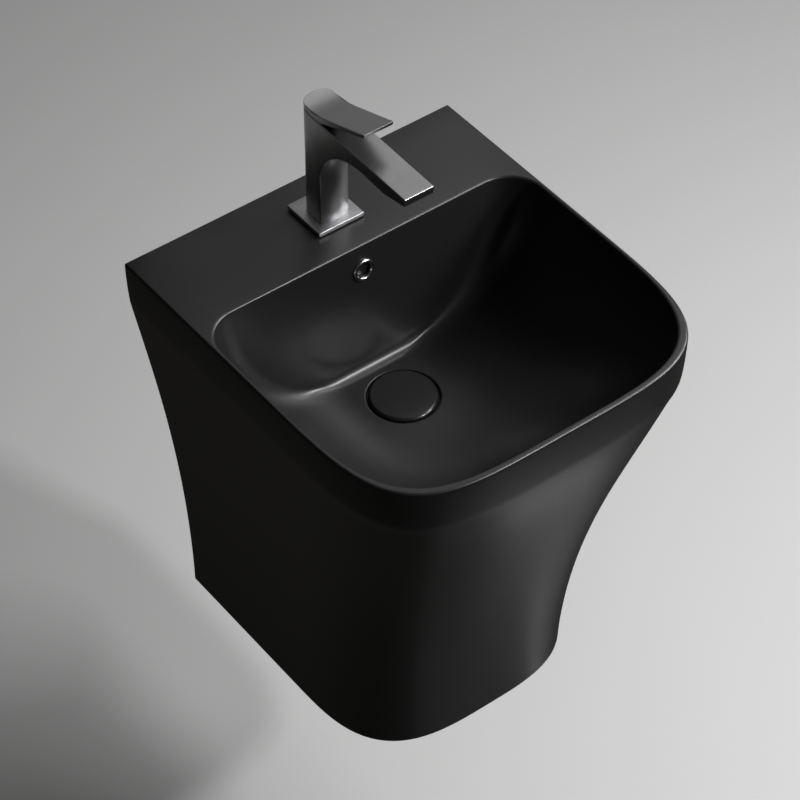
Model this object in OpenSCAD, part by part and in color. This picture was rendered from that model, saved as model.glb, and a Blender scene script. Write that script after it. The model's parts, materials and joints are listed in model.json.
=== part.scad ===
// Wall-hung basin with a half pedestal, a single-lever mixer, a click waste and a bottle trap.
// Frame: X to the right, Y into the wall, Z up. The wall plane is y = 0 and z = 0 is the
// height of the two wall bolts. Depths written d are measured down from the rim.

/* [Basin] */
// Overall width across the deck
basin_w = 400; // [390:5:410]
// Overall depth from the wall to the front of the rim
basin_d = 440; // [430:5:450]
// Overall height from the rim to the lower edge of the half pedestal
basin_h = 500; // [480:10:540]
// Width of the half pedestal at its lower edge
base_w = 291; // [280:1:300]
// Depth of the half pedestal at its lower edge
base_d = 335; // [325:1:345]
// Height of the upright apron under the rim
apron_h = 52; // [40:2:60]
// Ceramic thickness of the half pedestal
skirt_t = 10; // [8:1:12]
// Ceramic thickness under the bowl
bowl_t = 9; // [8:1:10]

/* [Bowl] */
// Depth of the deck behind the bowl
deck_d = 119; // [112:1:124]
// Width of the rim beside the bowl
rim_side = 5; // [4:0.5:7]
// Width of the rim in front of the bowl
rim_front = 7; // [6:0.5:9]
// Depth of the bowl at the waste
bowl_d = 155.5; // [154:0.5:157]
// Distance of the waste from the wall
waste_y = 187; // [182:1:192]
// Depth of the overflow below the rim
overflow_d = 31; // [29:1:35]

/* [Wall fixing] */
// Depth of the wall bolts below the rim
bolt_d = 75; // [70:1:85]
// Distance between the two wall bolts
bolt_gap = 280; // [220:10:290]
// Radius of the bolt passage
bolt_r = 5.25; // [5.25:0.25:5.5]

/* [Mixer] */
// Distance of the mixer's axis from the wall
tap_y = 60; // [58:1:62]
// Radius of the tap hole in the deck
tap_hole_r = 17.5; // [17:0.25:18]
// Width of the mixer's column, spout and lever
mixer_w = 34.6; // [34:0.2:36]
// Side of the square base plate
plate_w = 54.5; // [50:0.5:60]
// Distance of the spout's tip from the wall
spout_y = 211.3; // [205:0.5:215]

/* [Hidden] */
$fn = 64;

// Colours
c_ceramic = [0.05, 0.05, 0.052];
c_gunmetal = [0.22, 0.22, 0.23];
c_steel = [0.62, 0.62, 0.63];
c_brass = [0.72, 0.58, 0.32];
c_plastic = [0.86, 0.86, 0.84];
c_rubber = [0.09, 0.09, 0.09];
c_disc = [0.93, 0.93, 0.9];

fit = 0.1;   // radial clearance of a part that sits in another
eps = 1;     // how far a cutter runs past the face it cuts
rim_z = bolt_d;

function at(d) = rim_z - d;
function curve(t, n) = pow(t, 2 / n);

// Outline of the basin, seen from above, as half a ring from the wall side to the front:
// straight back, round back corner, straight side, then a superelliptic front.
corner_steps = 6;
front_steps = 11;
function half_outline(a, yb, yf, rc, nf, ym) = concat(
    [for (i = [0:1]) [i * (a - rc) / 2, yb]],
    [for (i = [0:corner_steps - 1]) let (t = 90 * i / corner_steps)
        [a - rc + rc * sin(t), yb - rc + rc * cos(t)]],
    [for (i = [0:1]) [a, yb - rc + (ym - yb + rc) * i / 2]],
    [for (i = [0:front_steps]) let (t = 90 * i / front_steps)
        [a * curve(cos(t), nf), ym - (ym - yf) * curve(sin(t), nf)]]
);
function ring(z, a, yb, yf, rc, nf, ym) =
    let (h = half_outline(a, yb, yf, rc, nf, ym), n = len(h))
    concat([for (p = h) [p[0], p[1], z]], [for (i = [n - 2:-1:1]) [-h[i][0], h[i][1], z]]);

// A closed solid through rings that are listed from the lowest to the last
module loft(rings) {
    n = len(rings[0]);
    m = len(rings);
    sides = [for (j = [0:m - 2], i = [0:n - 1]) let (k = (i + 1) % n, p = j * n, q = p + n)
        each [[p + i, p + k, q + k], [p + i, q + k, q + i]]];
    caps = [[for (i = [n - 1:-1:0]) i], [for (i = [0:n - 1]) (m - 1) * n + i]];
    polyhedron(points = [for (r = rings) each r], faces = concat(sides, caps), convexity = 8);
}

// Outside of the basin at depth d, drawn in by the amount t, with its back at y = back
side_power = 1.82;   // how the flare of the sides grows with height
front_power = 1.69;  // how the flare of the front grows with height
side_swell = 0.26;   // fullness of the sides under the apron
front_swell = 0.66;  // fullness of the front under the apron
crease_in = 2.5;     // how far the apron leans in at its lower edge
function rise(d) = min(1, (basin_h - d) / (basin_h - apron_h));
function flare(d, p, swell) = let (s = rise(d)) pow(s, p) + swell * pow(s, 4) * (1 - s);
function lean(d) = crease_in * pow(min(d, apron_h) / apron_h, 2);
function outer_a(d) = base_w / 2 + (basin_w / 2 - crease_in - base_w / 2) * flare(d, side_power, side_swell)
    + crease_in - lean(d);
function outer_f(d) = base_d + (basin_d - crease_in - base_d) * flare(d, front_power, front_swell)
    + crease_in - lean(d);
function outer_ring(d, t = 0, back = 0, wall_corner = 2.2) = let (s = rise(d)) ring(
    at(d), outer_a(d) - t, back, t - outer_f(d), wall_corner, 4.5 - 1.26 * pow(1 - s, 0.4), -190 - 30 * s
);

// Inside of the bowl: v runs from 0 at the rim to 90 at the waste; t is a thickness outwards
bowl_power = 1.85;   // roundness of the bowl across its width
bowl_rise = 2.4;     // roundness of the bowl towards its front
wall_lean = 13.5;    // how far the back wall leans forward over its height
floor_r = 43;        // half-width of the flat round the waste
corner_rim = 40;     // plan radius of the bowl's back corners at the rim
corner_floor = 18;   // the same radius at the floor
fillet_r = waste_y - floor_r - deck_d - wall_lean;
function bowl_depth(v) = bowl_d * curve(sin(v), bowl_power);
function fillet(d) = d > bowl_d - fillet_r
    ? fillet_r - sqrt(max(0, pow(fillet_r, 2) - pow(d - bowl_d + fillet_r, 2))) : 0;
function bowl_ring(v, t = 0) = let (
    d = bowl_depth(v),
    a = floor_r + (basin_w / 2 - rim_side - floor_r) * curve(cos(v), bowl_power) + t,
    yf = waste_y + floor_r + (basin_d - rim_front - waste_y - floor_r) * curve(cos(v), bowl_rise) + t,
    yb = deck_d + wall_lean * d / bowl_d + fillet(d) - t
) ring(
    at(d + (v > 0 ? t * sin(v) : 0)), a, -yb, -yf,
    min(corner_floor + (corner_rim - corner_floor) * pow(cos(v), 2), 0.75 * a),
    2 + 2.2 * cos(v), -waste_y - 33 * cos(v)
);
// Depth y of the bowl's back wall at depth d
function back_wall_y(d) = -deck_d - wall_lean * d / bowl_d;
wall_tilt = atan(wall_lean / bowl_d);

rim_round = 2;
base_round = 3;
outer_depths = [
    basin_h - base_round, 440, 380, 320, 260, 205, 160, 120, 92, 74, 62, apron_h, 44, 30, 14, rim_round
];
bowl_steps = [0, 8, 16, 26, 36, 46, 56, 66, 76, 84, 90];
module outer_solid() {
    loft(concat(
        [let (r = outer_ring(basin_h, base_round)) [for (p = r) [p[0], min(p[1], 0), at(basin_h)]]],
        [for (d = outer_depths) outer_ring(d)],
        [let (r = outer_ring(rim_round, rim_round * 0.9)) [for (p = r) [p[0], p[1], at(0)]]],
        [[for (q = bowl_ring(0, rim_round * 0.6)) [q[0], q[1], at(0)]]],
        [for (v = bowl_steps) v > 0 ? bowl_ring(v) : [for (q = bowl_ring(0)) [q[0], q[1], at(rim_round)]]]
    ));
}

deck_t = 12;
panel_t = 12;
space_depths = [basin_h + eps, 440, 380, 320, 260, 200, 150, 110, 80, 62, apron_h, 30, deck_t];
module pedestal_space() {
    loft([for (d = space_depths) [
        for (p = outer_ring(min(d, basin_h), skirt_t, -panel_t, 12)) [p[0], p[1], at(d)]
    ]]);
}
module bowl_outside() {
    loft(concat(
        [for (i = [len(bowl_steps) - 1:-1:1]) bowl_ring(bowl_steps[i], bowl_t)],
        [[for (q = bowl_ring(0, bowl_t)) [q[0], q[1], at(-eps)]]]
    ));
}

// Waste boss and the overflow duct cast on the back of the bowl
boss_r = 38;
boss_end = 205;
waste_hole_r = 23;
chamber_r = 32;
chamber_top = 176;
chamber_end = 196;
duct_w = 56;
duct_t = 6;
duct_back = 88;
duct_top = 18;
module yz_slab(w, points) {
    translate([-w / 2, 0, 0])
        rotate([90, 0, 90])
            linear_extrude(w)
                polygon(points);
}
module duct(w, inset) {
    yz_slab(w, [
        [-duct_back - inset, at(duct_top + inset)],
        [-deck_d + inset, at(duct_top + inset)],
        [-deck_d - 4 + inset, at(chamber_top - duct_t + inset)],
        [-waste_y + 20, at(chamber_top - duct_t + inset)],
        [-waste_y + 20, at(chamber_end + duct_t - inset)],
        [-duct_back - inset, at(chamber_end + duct_t - inset)]
    ]);
}
module waste_axis(d = 0) {
    translate([0, -waste_y, at(d)]) children();
}

window_top = 135;
window_gap = 22;
module back_window() {
    translate([0, eps, 0])
        rotate([90, 0, 0])
            linear_extrude(panel_t + 2 * eps)
                polygon([
                    [-outer_a(window_top) + window_gap + 8, at(window_top)],
                    [outer_a(window_top) - window_gap - 8, at(window_top)],
                    [outer_a(basin_h) - window_gap, at(basin_h + eps)],
                    [-outer_a(basin_h) + window_gap, at(basin_h + eps)]
                ]);
}

// The casting is drawn as two bodies that meet on a level plane: the basin above it and the
// half pedestal below it. Each is brought to its exact height.
join_d = 84;
module below_join() {
    translate([-basin_w, -2 * basin_d, at(basin_h + 50)])
        cube([2 * basin_w, 3 * basin_d, basin_h + 50 - join_d]);
}
module basin_shell() {
    resize([basin_w, basin_d, boss_end])
        difference() {
            outer_solid();
            difference() {
                union() {
                    pedestal_space();
                    below_join();
                }
                bowl_outside();
                waste_axis(boss_end) cylinder(r = boss_r, h = boss_end - bowl_d);
                duct(duct_w, 0);
            }
            duct(duct_w - 2 * duct_t, duct_t);
            waste_axis(chamber_end) cylinder(r = chamber_r, h = chamber_end - chamber_top);
            waste_axis(boss_end + eps) cylinder(r = waste_hole_r - 2, h = boss_end - bowl_d + 2 * eps);
        }
}
module half_pedestal() {
    color(c_ceramic)
        resize([0, 0, basin_h - join_d])
            difference() {
                intersection() {
                    outer_solid();
                    below_join();
                }
                pedestal_space();
                back_window();
            }
}

recess_r = 37.8;
recess_d = 162;
overflow_hole_r = 11;
module overflow_axis() {
    translate([0, back_wall_y(overflow_d), at(overflow_d)])
        rotate([90 - wall_tilt, 0, 0]) children();
}
sleeve_r = 7;
module bolt_places() {
    for (s = [-1, 1])
        translate([s * bolt_gap / 2, 0, 0])
            rotate([90, 0, 0]) children();
}
module tap_axis(z = 0) {
    translate([0, -tap_y, rim_z + z]) children();
}

module basin_body() {
    color(c_ceramic)
        difference() {
            basin_shell();
            waste_axis(recess_d) cylinder(r = recess_r, h = recess_d - bowl_d + 8);
            waste_axis(boss_end + eps) cylinder(r = waste_hole_r, h = boss_end - bowl_d + 2 * eps);
            translate([0, 0, -deck_t - eps]) tap_axis() cylinder(r = tap_hole_r, h = deck_t + 2 * eps);
            overflow_axis() translate([0, 0, -20]) cylinder(r = overflow_hole_r, h = 24);
            bolt_places() translate([0, 0, -eps]) cylinder(r = sleeve_r, h = panel_t + 2 * eps);
        }
}

overflow_lip = 12.5;
overflow_bore = 8.3;
module overflow_ring() {
    color(c_gunmetal)
        overflow_axis()
            rotate_extrude()
                difference() {
                    union() {
                        translate([overflow_bore, -12]) square([overflow_hole_r - fit - overflow_bore, 12.5]);
                        translate([overflow_bore, 0.3]) square([overflow_lip - overflow_bore - 1.2, 2.4]);
                        translate([overflow_lip - 1.3, 1.5]) circle(r = 1.2);
                        translate([overflow_lip - 1.7, 0.3]) square([1.6, 1.2]);
                    }
                    translate([0, -13]) square([overflow_bore, 20]);
                }
}

// Wall fixings, on axes that run from the wall towards the room
sleeve_flange_t = 2;
fixing_washer_t = 2.5;
fixing_nut_t = 8;
module tube(r_out, r_in, h) {
    difference() {
        cylinder(r = r_out, h = h);
        translate([0, 0, -eps]) cylinder(r = r_in, h = h + 2 * eps);
    }
}
module fixing_sleeves() {
    color(c_plastic)
        bolt_places() {
            tube(sleeve_r - fit, bolt_r, panel_t + sleeve_flange_t);
            translate([0, 0, panel_t]) tube(11, bolt_r, sleeve_flange_t);
        }
}
module fixing_washers() {
    color(c_steel)
        bolt_places() translate([0, 0, panel_t + sleeve_flange_t]) tube(12, bolt_r, fixing_washer_t);
}
module fixing_nuts() {
    color(c_steel)
        bolt_places()
            translate([0, 0, panel_t + sleeve_flange_t + fixing_washer_t])
                difference() {
                    cylinder(r = 9.8, h = fixing_nut_t, $fn = 6);
                    translate([0, 0, -eps]) cylinder(r = bolt_r, h = fixing_nut_t + 2 * eps);
                }
}

// Click waste
cap_r = 36;
cap_top = 152.5;
cap_under = 157.3;
plunger_r = 3.2;
flange_top = 158.5;
flange_end = 160.5;
flange_r = 34;
waste_r = 20.9;
waste_bore = 17;
waste_end = 250;
hub_top = 180;
hub_end = 186;
housing_top = 163;
spring_seat = 176;
module waste_cap() {
    edge = 1.8;
    color(c_ceramic)
        waste_axis()
            difference() {
                rotate_extrude()
                    union() {
                        translate([0, -cap_under]) square([cap_r - edge, cap_under - cap_top - 0.4]);
                        translate([0, -cap_under]) square([cap_r, cap_under - cap_top - edge - 0.4]);
                        translate([cap_r - edge, -cap_top - edge - 0.4]) circle(r = edge);
                        polygon([[0, -cap_top], [0, -cap_top - 1], [cap_r - edge, -cap_top - 1],
                            [cap_r - edge, -cap_top - 0.4], [cap_r / 2, -cap_top - 0.1]]);
                        translate([0, -160.5]) square([6, 160.5 - cap_under]);
                    }
                translate([0, 0, -162]) cylinder(r = plunger_r + fit, h = 7);
            }
}
module cap_seal() {
    color(c_rubber) waste_axis(flange_top - fit) tube(32, 28, flange_top - fit - cap_under);
}
module waste_plunger() {
    color(c_steel) waste_axis(spring_seat) cylinder(r = plunger_r, h = spring_seat - 155.1);
}

// A coil spring: a round wire swept along a helix
wire_r = 0.8;
coil_r = 8.2;
coil_turns = 5;
ring_steps = 14;
wire_sides = 6;
coil_low = spring_seat - wire_r - 0.2;
coil_high = cap_under + wire_r + 0.2;
function coil_point(i, j) = let (
    a = 360 * i / ring_steps,
    b = 360 * j / wire_sides,
    r = coil_r + wire_r * cos(b)
) [r * cos(a), r * sin(a), at(coil_low) + (coil_low - coil_high) * i / (coil_turns * ring_steps) + wire_r * sin(b)];
module click_spring() {
    n = wire_sides;
    m = coil_turns * ring_steps;
    points = [for (i = [0:m], j = [0:n - 1]) coil_point(i, j)];
    sides = [for (i = [0:m - 1], j = [0:n - 1]) let (k = (j + 1) % n, p = i * n, q = p + n)
        each [[p + j, p + k, q + k], [p + j, q + k, q + j]]];
    caps = [[for (j = [n - 1:-1:0]) j], [for (j = [0:n - 1]) m * n + j]];
    color(c_steel) translate([0, -waste_y, 0]) polyhedron(points = points, faces = concat(sides, caps));
}
module click_housing() {
    color(c_plastic)
        difference() {
            union() {
                waste_axis(hub_top) cylinder(r = 6.5, h = hub_top - housing_top);
                waste_axis(hub_top) cylinder(r = 9.6, h = hub_top - spring_seat);
                waste_axis(hub_end + 2) cylinder(r = 4 - fit, h = hub_end + 2 - hub_top);
            }
            waste_axis(hub_top + 2) cylinder(r = plunger_r + fit, h = hub_top + 2 - housing_top + eps);
        }
}
module waste_body() {
    color(c_brass)
        union() {
            difference() {
                union() {
                    waste_axis(flange_end) cylinder(r = flange_r, h = flange_end - flange_top);
                    waste_axis(waste_end) cylinder(r = waste_r, h = waste_end - flange_top - eps);
                }
                waste_axis(waste_end + eps) cylinder(r = waste_bore, h = waste_end - flange_top + 2 * eps);
                for (a = [0, 90])
                    waste_axis(194) rotate([0, 0, a]) translate([-30, -6, 0]) cube([60, 12, 12]);
            }
            difference() {
                union() {
                    waste_axis(hub_end) cylinder(r = 7, h = hub_end - hub_top);
                    for (a = [45:90:315])
                        waste_axis(hub_end) rotate([0, 0, a]) translate([5, -1.5, 0]) cube([14, 3, hub_end - hub_top]);
                }
                waste_axis(hub_end + eps) cylinder(r = 4, h = hub_end - hub_top + 2 * eps);
            }
        }
}
module flange_seal() {
    color(c_rubber) waste_axis(recess_d) tube(33, waste_r + fit, recess_d - flange_end);
}
cone_end = 212;
washer_end = 214.5;
module cone_seal() {
    color(c_rubber)
        waste_axis(cone_end)
            difference() {
                cylinder(r1 = 27, r2 = 31, h = cone_end - boss_end);
                translate([0, 0, -eps]) cylinder(r = waste_r + fit, h = 10);
            }
}
module waste_washer() {
    color(c_plastic) waste_axis(washer_end) tube(31, waste_r + fit, washer_end - cone_end);
}
module waste_nut() {
    color(c_brass)
        waste_axis(washer_end + 10)
            difference() {
                cylinder(r = 32, h = 10, $fn = 6);
                translate([0, 0, -eps]) cylinder(r = waste_r + fit, h = 10 + 2 * eps);
            }
}

// Bottle trap
pipe_r = 16;
pipe_bore = 14.6;
neck_r = 20;
head_r = 33;
head_bore = 30;
outlet_d = 330;
neck_top = 294;
head_top = 312;
head_end = 352;
spigot_r = 20.5;
spigot_y = 128;
// A ribbed plastic nut: a lip that grips the pipe and a skirt over the thread
module pipe_nut(r_out, skirt_r, skirt_h, lip_h) {
    difference() {
        union() {
            cylinder(r = r_out - 1.5, h = skirt_h + lip_h);
            for (a = [0:45:315])
                rotate([0, 0, a]) translate([r_out - 5, -3, 0]) cube([5, 6, skirt_h + lip_h - 2]);
        }
        translate([0, 0, -eps]) cylinder(r = skirt_r + fit, h = skirt_h + eps);
        cylinder(r = pipe_r + 0.3, h = skirt_h + lip_h + eps);
    }
}
module trap_inlet_nut() {
    color(c_plastic)
        waste_axis(236) mirror([0, 0, 1]) pipe_nut(27.5, waste_r, 18.4, 7);
}
module trap_inlet_washer() {
    color(c_rubber) waste_axis(252.5) tube(waste_r - 0.1, pipe_r + fit, 2.5);
}
module trap_dip_tube() {
    color(c_plastic)
        union() {
            waste_axis(254.4) tube(waste_r - 0.2, pipe_bore, 1.9);
            waste_axis(395) tube(pipe_r, pipe_bore, 395 - 252.5);
        }
}
module trap_top_nut() {
    color(c_plastic) waste_axis(307) pipe_nut(26, neck_r, 307 - 291, 4);
}
module trap_top_washer() {
    color(c_rubber) waste_axis(neck_top) tube(neck_r - 0.2, pipe_r + fit, 3);
}
module outlet_axis(y) {
    translate([0, -y, at(outlet_d)]) rotate([-90, 0, 0]) children();
}
module trap_head() {
    color(c_plastic)
        difference() {
            union() {
                waste_axis(head_end) cylinder(r = head_r, h = head_end - head_top);
                waste_axis(head_top) cylinder(r = neck_r, h = head_top - neck_top);
                outlet_axis(waste_y) cylinder(r = spigot_r, h = waste_y - spigot_y);
            }
            waste_axis(head_end + eps) cylinder(r = head_bore, h = head_end - head_top - 4 + eps);
            waste_axis(head_top + 5) cylinder(r = pipe_r + 1, h = head_top - neck_top + 6);
            outlet_axis(waste_y - 10) cylinder(r = pipe_r + 0.2, h = waste_y - spigot_y);
        }
}
cup_r = 29.8;
cup_end = 420;
module trap_cup() {
    color(c_plastic)
        difference() {
            union() {
                waste_axis(cup_end) cylinder(r = cup_r, h = cup_end - 347);
                waste_axis(359) cylinder(r = head_r + 1, h = 5.5);
                for (a = [0:45:315])
                    waste_axis(cup_end - 4) rotate([0, 0, a]) translate([cup_r - 4, -2, 0]) cube([6, 4, 50]);
            }
            waste_axis(cup_end - 3) cylinder(r = 27, h = 100);
        }
}
module trap_cup_seal() {
    color(c_rubber) waste_axis(353.5) tube(head_r, head_bore + fit, 1.5);
}
module trap_outlet_nut() {
    color(c_plastic) outlet_axis(142) pipe_nut(27, spigot_r, 142 - 125, 4);
}
module trap_outlet_washer() {
    color(c_rubber) outlet_axis(spigot_y) tube(spigot_r - 0.2, pipe_r + fit, 3);
}
module trap_outlet_pipe() {
    color(c_plastic) outlet_axis(148) tube(pipe_r, pipe_bore, 148);
}
module wall_flange() {
    color(c_plastic)
        outlet_axis(14)
            difference() {
                cylinder(r1 = 19, r2 = 32, h = 14);
                translate([0, 0, -eps]) cylinder(r = pipe_r + fit, h = 16);
                translate([0, 0, 3]) cylinder(r1 = 17, r2 = 29.5, h = 11.1);
            }
}

// Mixer, with heights measured from the deck
plate_top = 6;
seal_t = 1.5;
seat_z = 135.2;          // top of the column, under the lever
tip_z = 131.4;           // top of the spout at its tip
column_back = 43.5;      // distance of the column's back from the wall
column_front = 75;       // distance of the column's front corners from the wall
bow = 4.3;               // how far the column's front bulges
arch = [142.5, 62.5];    // centre of the arch under the spout, as distance and height
arch_size = [67.5, 56];
pivot_z = 110;
half = mixer_w / 2;
// Plan of the column's rounded back, extended forwards to the distance y
module mixer_plan(y) {
    back_r = 12.5;
    polygon(concat(
        [for (t = [0:10:180]) [
            half * sign(cos(t)) * curve(abs(cos(t)), 2.4),
            -column_back - back_r + back_r * curve(sin(t), 2.4)
        ]],
        [[-half, -y], [half, -y]]
    ));
}
module spout_profile() {
    polygon(concat(
        [[-column_back, plate_top], [-column_back, seat_z], [-spout_y, tip_z], [-spout_y + 1, tip_z - 9], [-178, 116.6]],
        [for (t = [90:-10:0]) [-arch[0] + arch_size[0] * cos(t), arch[1] + arch_size[1] * sin(t)]],
        [[-column_front, plate_top]]
    ));
}
module mixer_shape() {
    intersection() {
        translate([-half, 0, 0]) rotate([90, 0, 90]) linear_extrude(mixer_w) spout_profile();
        linear_extrude(seat_z + eps) mixer_plan(spout_y + eps);
    }
    bow_r = (half * half + bow * bow) / (2 * bow);
    intersection() {
        translate([0, bow_r - column_front - bow, plate_top]) cylinder(r = bow_r, h = 74);
        translate([-half, -column_front - bow - eps, plate_top]) cube([mixer_w, bow + 6, 74]);
    }
}
spigot_low = -4;
port_x = 6.5;
port_y = -4;
stud_y = 9;
port_r = 4.5;
aerator_y = 195;
aerator_z = 119.3;
aerator_tilt = 8.9;
aerator_r = 10.9;
module aerator_axis() {
    translate([0, -aerator_y, rim_z + aerator_z]) rotate([-aerator_tilt, 0, 0]) children();
}
module between(p, q, r) {
    v = q - p;
    translate(p) rotate([0, acos(v[2] / norm(v)), atan2(v[1], v[0])]) cylinder(r = r, h = norm(v));
}
chamber_z = 84;
module mixer_body() {
    color(c_gunmetal)
        difference() {
            union() {
                translate([0, 0, rim_z]) mixer_shape();
                tap_axis(spigot_low) cylinder(r = 14.9, h = plate_top - spigot_low + eps);
            }
            tap_axis(chamber_z) cylinder(r = 12.8, h = 60);
            tap_axis(118) cylinder(r = 14.2, h = 30);
            for (s = [-1, 1]) {
                tap_axis(spigot_low - eps) translate([s * port_x, port_y, 0]) cylinder(r = port_r, h = 12 + eps);
                tap_axis(0) translate([s * port_x, port_y, 0]) cylinder(r = 3.2, h = chamber_z + eps);
            }
            tap_axis(spigot_low - eps) translate([0, stud_y, 0]) cylinder(r = 4, h = 9 + eps);
            between([0, -66, rim_z + 91], [0, -115, rim_z + 126], 4);
            between([0, -112, rim_z + 126], [0, -194, rim_z + 126], 4.5);
            aerator_axis() translate([0, 0, -2]) cylinder(r = aerator_r, h = 11);
        }
}
module rounded_square(w, r) {
    square([w - 2 * r, w], center = true);
    square([w, w - 2 * r], center = true);
    for (x = [-1, 1], y = [-1, 1])
        translate([x * (w / 2 - r), y * (w / 2 - r)]) circle(r = r);
}
module base_plate() {
    color(c_gunmetal)
        tap_axis(seal_t)
            linear_extrude(plate_top - seal_t)
                difference() {
                    rounded_square(plate_w, 1);
                    circle(r = 15);
                }
}
module base_seal() {
    color(c_rubber)
        tap_axis(0)
            linear_extrude(seal_t)
                difference() {
                    rounded_square(plate_w - 3, 2);
                    circle(r = 15.2);
                }
}
module mixer_stud() {
    color(c_steel) tap_axis(-62) translate([0, stud_y, 0]) cylinder(r = 4 - fit, h = 66.5);
}
// A disc with a slot for the two hoses, open towards the room, and a hole for the stud
module horseshoe(r, h) {
    difference() {
        cylinder(r = r, h = h);
        translate([-12.5, -r - eps, -eps]) cube([25, r + eps + 1.5, h + 2 * eps]);
        translate([0, stud_y, -eps]) cylinder(r = 4.2, h = h + 2 * eps);
    }
}
module horseshoe_rubber() {
    color(c_rubber) tap_axis(-15) horseshoe(23, 3);
}
module horseshoe_plate() {
    color(c_steel) tap_axis(-17.5) horseshoe(23, 2.5);
}
module stud_nut() {
    color(c_brass)
        tap_axis(-24.5)
            translate([0, stud_y, 0])
                difference() {
                    cylinder(r = 7.5, h = 7, $fn = 6);
                    translate([0, 0, -eps]) cylinder(r = 4, h = 7 + 2 * eps);
                }
}

// Cartridge, on the mixer's axis
housing_r = 12.7;
housing_bore = 10.5;
carrier_r = 10.4;
stem_w = 6;
disc_shift = 1.8;
module ports(r, h) {
    for (a = [90, 210, 330])
        rotate([0, 0, a]) translate([5.6, 0, -eps]) cylinder(r = r, h = h + 2 * eps);
}
module cartridge_seal() {
    color(c_rubber) tap_axis(chamber_z) tube(housing_r - 0.2, 9.6, 2);
}
module cartridge_housing() {
    color(c_plastic)
        tap_axis(chamber_z + 2)
            difference() {
                union() {
                    cylinder(r = housing_r, h = 36);
                    translate([0, 0, 32]) cylinder(r = 14.1, h = 4);
                }
                translate([0, 0, 4]) cylinder(r = housing_bore, h = 36);
                ports(2.6, 4);
            }
}
module fixed_disc() {
    color(c_disc)
        tap_axis(90)
            difference() {
                cylinder(r = housing_bore - fit, h = 4);
                ports(2.4, 4);
            }
}
module moving_disc() {
    color(c_disc)
        tap_axis(94.05)
            difference() {
                translate([0, disc_shift, 0]) cylinder(r = 8.4, h = 6.45);
                translate([0, 0, 1.8]) cylinder(r = 3, h = 6);
                translate([0, disc_shift + 2.6, -eps]) cylinder(r = 2, h = 1.8 + eps);
            }
}
module cartridge_carrier() {
    color(c_plastic)
        tap_axis(101)
            difference() {
                cylinder(r = carrier_r, h = 20.8);
                translate([-stem_w / 2 - 0.25, -7.5, -eps]) cube([stem_w + 0.5, 15, 24]);
                translate([-12, 0, pivot_z - 101]) rotate([0, 90, 0]) cylinder(r = 1.3, h = 24);
            }
}
module cartridge_pin() {
    color(c_steel) tap_axis(pivot_z) translate([-9, 0, 0]) rotate([0, 90, 0]) cylinder(r = 1.25, h = 18);
}
stem_top = 140.2;
module cartridge_stem() {
    color(c_brass)
        tap_axis(0)
            difference() {
                union() {
                    translate([-stem_w / 2, -stem_w / 2, 102]) cube([stem_w, stem_w, stem_top - 102]);
                    translate([0, 0, 98.5]) cylinder(r = 1.8, h = 4);
                    translate([0, 0, 98.5]) sphere(r = 2.2);
                }
                translate([-eps - stem_w / 2, 0, pivot_z])
                    rotate([0, 90, 0]) cylinder(r = 1.3, h = stem_w + 2 * eps);
            }
}
module cartridge_nut() {
    color(c_brass)
        tap_axis(122)
            difference() {
                cylinder(r = 14.1, h = 5);
                translate([0, 0, -eps]) cylinder(r = 9.6, h = 5 + 2 * eps);
            }
}

// Lever: a block over the column that runs out into a rising blade
lever_low = 135.7;       // underside of the lever over its seat
lever_dip = 142.3;       // lowest point of the lever's top
dip_r = 65;              // radius of the hollow in the lever's top
blade_rise = 19;         // slope of the blade's top
blade_y = 149.2;         // distance of the blade's tip from the wall
blade_t = 4.6;           // thickness of the blade's tip
relief = [-1.5, 15.5];   // where the relief at the back starts behind the axis, and its slope
hollow = [62, lever_dip + dip_r];
hollow_end = hollow[0] + dip_r * sin(blade_rise);
blade_top = hollow[1] - dip_r * cos(blade_rise) + (blade_y - hollow_end) * tan(blade_rise);
module lever_profile() {
    polygon(concat(
        [for (t = [-16.5:5.92:blade_rise + 0.1]) [-hollow[0] - dip_r * sin(t), hollow[1] - dip_r * cos(t)]],
        [[-blade_y, blade_top], [-blade_y + 1.2, blade_top - blade_t], [-77.5, lever_low],
         [-tap_y + relief[0], lever_low],
         [-column_back, lever_low + (tap_y - relief[0] - column_back) * tan(relief[1])]]
    ));
}
module mixer_lever() {
    color(c_gunmetal)
        translate([0, 0, rim_z])
            difference() {
                union() {
                    intersection() {
                        translate([-half, 0, 0]) rotate([90, 0, 90]) linear_extrude(mixer_w) lever_profile();
                        linear_extrude(blade_top + eps) mixer_plan(blade_y + eps);
                    }
                    translate([0, -tap_y, 131]) cylinder(r = 6, h = 8);
                }
                translate([-stem_w / 2 - fit, -tap_y - stem_w / 2 - fit, 130])
                    cube([stem_w + 2 * fit, stem_w + 2 * fit, stem_top - 130 + fit]);
                translate([0, -tap_y, 138.2]) rotate([90, 0, 0]) cylinder(r = 2, h = 30);
            }
}
module lever_screw() {
    color(c_steel)
        translate([0, -tap_y - stem_w / 2 - fit, rim_z + 138.2])
            rotate([90, 0, 0])
                difference() {
                    cylinder(r = 1.9, h = 7);
                    translate([0, 0, 4]) cylinder(r = 1.1, h = 4, $fn = 6);
                }
}

// Aerator, on its own tilted axis
module aerator_housing() {
    color(c_gunmetal) aerator_axis() translate([0, 0, 0.3]) tube(aerator_r - fit, 8.6, 6);
}
module aerator_insert() {
    color(c_plastic)
        aerator_axis()
            translate([0, 0, 1.3])
                difference() {
                    cylinder(r = 8.5, h = 4.4);
                    for (r = [0, 3.2, 6.2])
                        for (a = [0:(r == 0 ? 360 : r == 3.2 ? 60 : 30):359])
                            rotate([0, 0, a]) translate([r, 0, -eps]) cylinder(r = 1.05, h = 4.4 + 2 * eps);
                }
}
module aerator_seal() {
    color(c_rubber) aerator_axis() translate([0, 0, 6.3]) tube(aerator_r - 0.2, 7, 1.1);
}

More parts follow.
